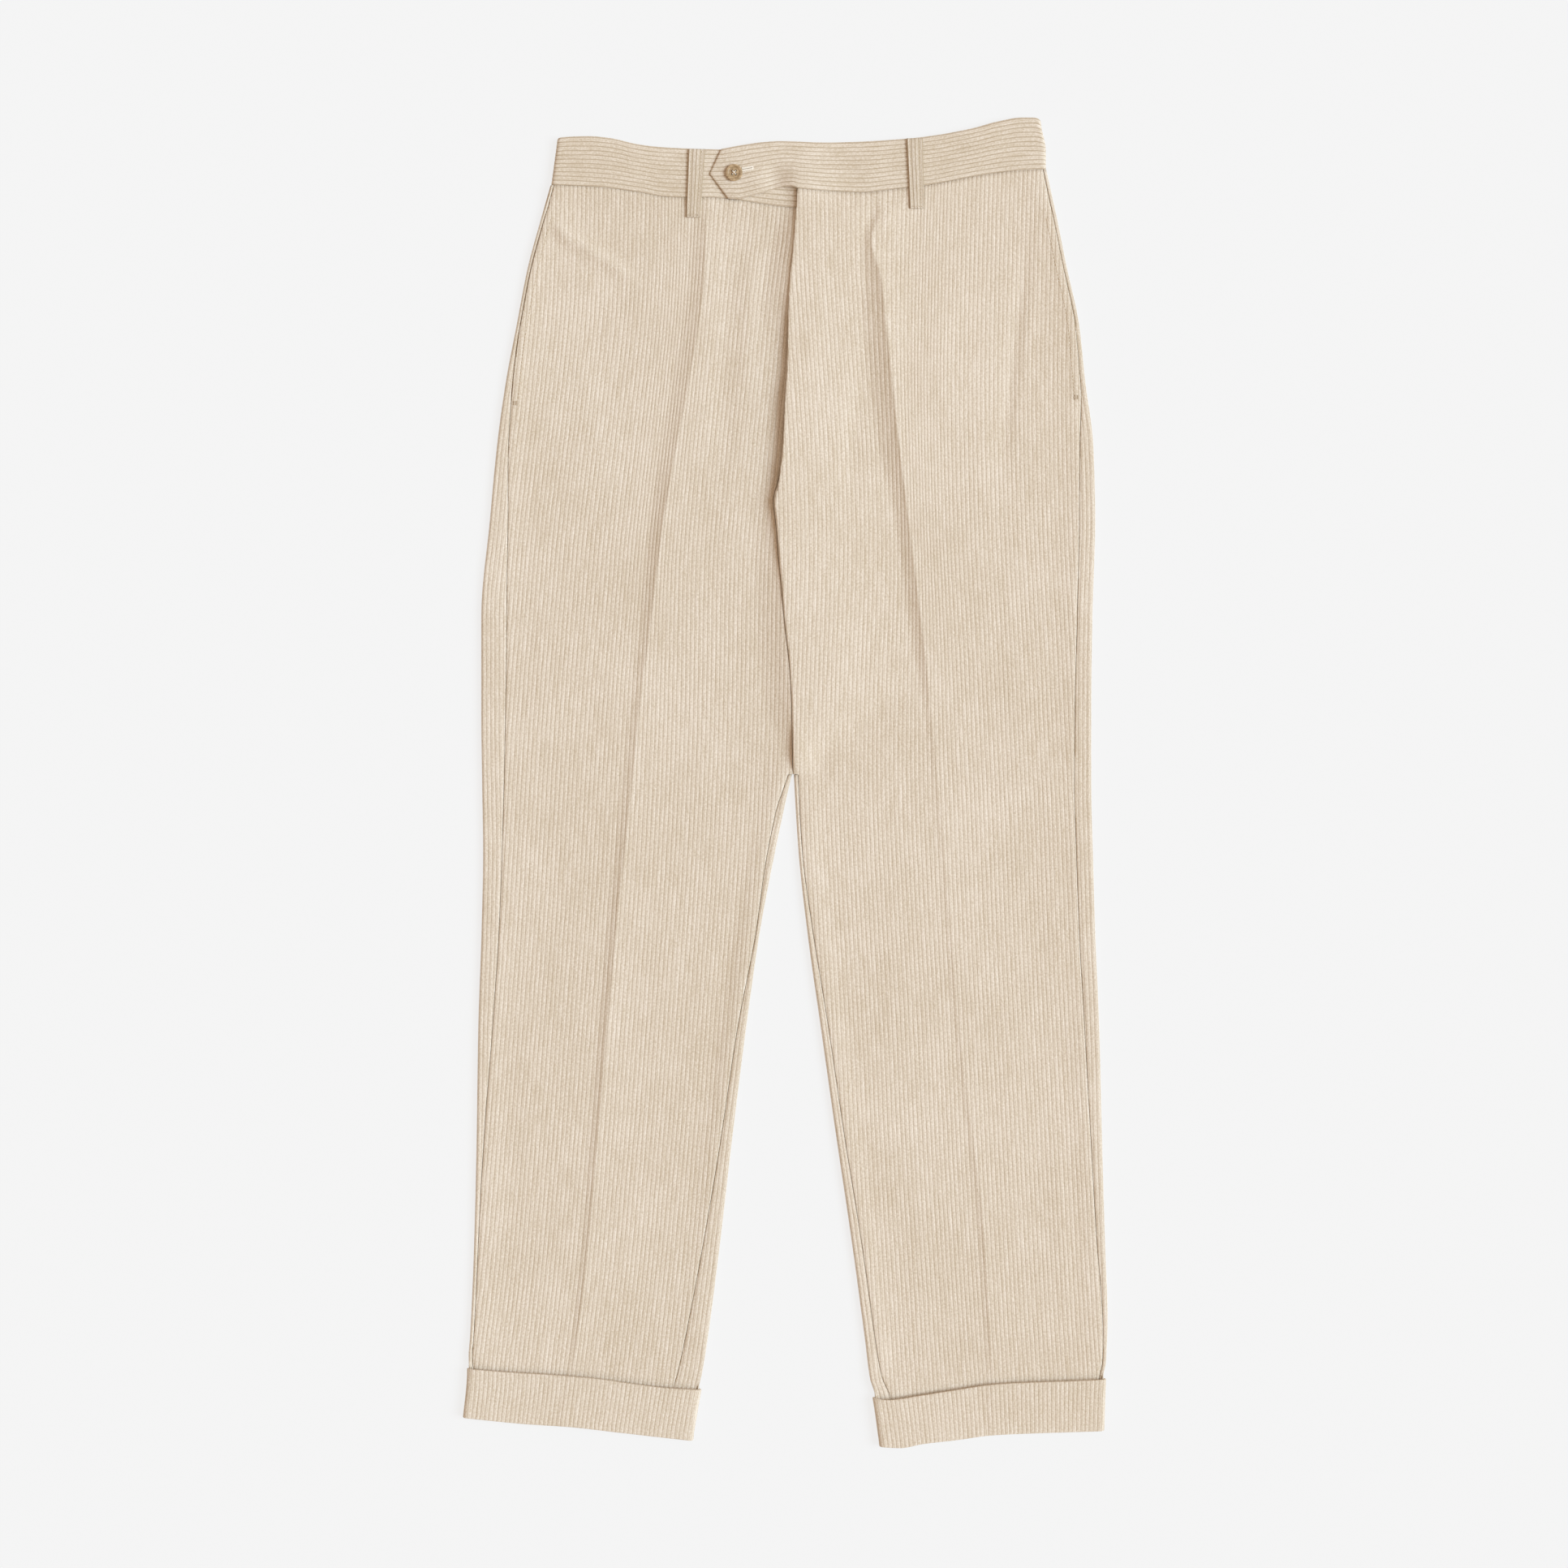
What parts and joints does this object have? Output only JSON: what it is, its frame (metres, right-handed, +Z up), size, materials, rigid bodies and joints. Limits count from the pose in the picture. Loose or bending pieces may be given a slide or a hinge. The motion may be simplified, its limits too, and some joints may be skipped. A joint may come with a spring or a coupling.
{
  "type": "chino trousers",
  "caption": "Flat-front trousers in ribbed sand cotton, laid face up: waistband with a buttoned pointed tab, belt loops, side pockets, pressed creases and turn-ups.",
  "frame": {"origin": "on the surface the trousers lie on, under the middle of their outline", "axes": "+Z up out of the cloth, +Y towards the waist, +X towards the wearer's left"},
  "size_m": [0.5483, 1.1304, 0.0142],
  "materials": {
    "corded_cotton": "matt corded cotton with fine lengthwise ribs",
    "button": "satin, mottled brown",
    "sewing_thread": "matt thread"
  },
  "bodies": {
    "root": {"front_right": "corded_cotton", "front_left": "corded_cotton", "back_right": "corded_cotton", "back_left": "corded_cotton", "waistband_right": "corded_cotton", "waistband_left": "corded_cotton", "belt_loop_right": "corded_cotton", "belt_loop_left": "corded_cotton", "cuff_right": "corded_cotton", "cuff_left": "corded_cotton", "button": "button", "button_thread_low": "sewing_thread", "button_thread_high": "sewing_thread"}
  },
  "joints": []
}
